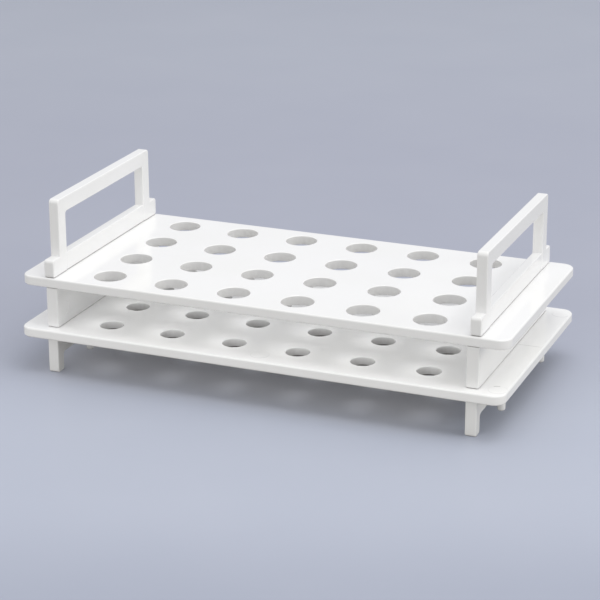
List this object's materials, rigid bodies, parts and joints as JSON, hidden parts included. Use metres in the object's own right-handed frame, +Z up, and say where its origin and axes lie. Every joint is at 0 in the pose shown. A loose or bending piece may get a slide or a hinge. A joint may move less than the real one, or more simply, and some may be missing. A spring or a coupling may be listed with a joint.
{
  "type": "microcentrifuge tube rack",
  "caption": "Two-tier plastic rack that holds small centrifuge tubes upright in rows, with a carrying handle and a leg frame at each end.",
  "frame": {"origin": "on the floor, in the middle of the four legs", "axes": "+X along the rack's long side, from the left handle to the right handle; +Y from front to back; +Z up"},
  "size_m": [0.1738, 0.0864, 0.0604],
  "materials": {
    "plate_plastic": "glossy moulded white",
    "end_piece_plastic": "satin moulded white"
  },
  "bodies": {
    "root": {"upper_plate": "plate_plastic", "lower_plate": "plate_plastic", "left_handle": "end_piece_plastic", "right_handle": "end_piece_plastic", "left_spacer": "end_piece_plastic", "right_spacer": "end_piece_plastic", "left_leg_frame": "end_piece_plastic", "right_leg_frame": "end_piece_plastic"}
  },
  "joints": []
}
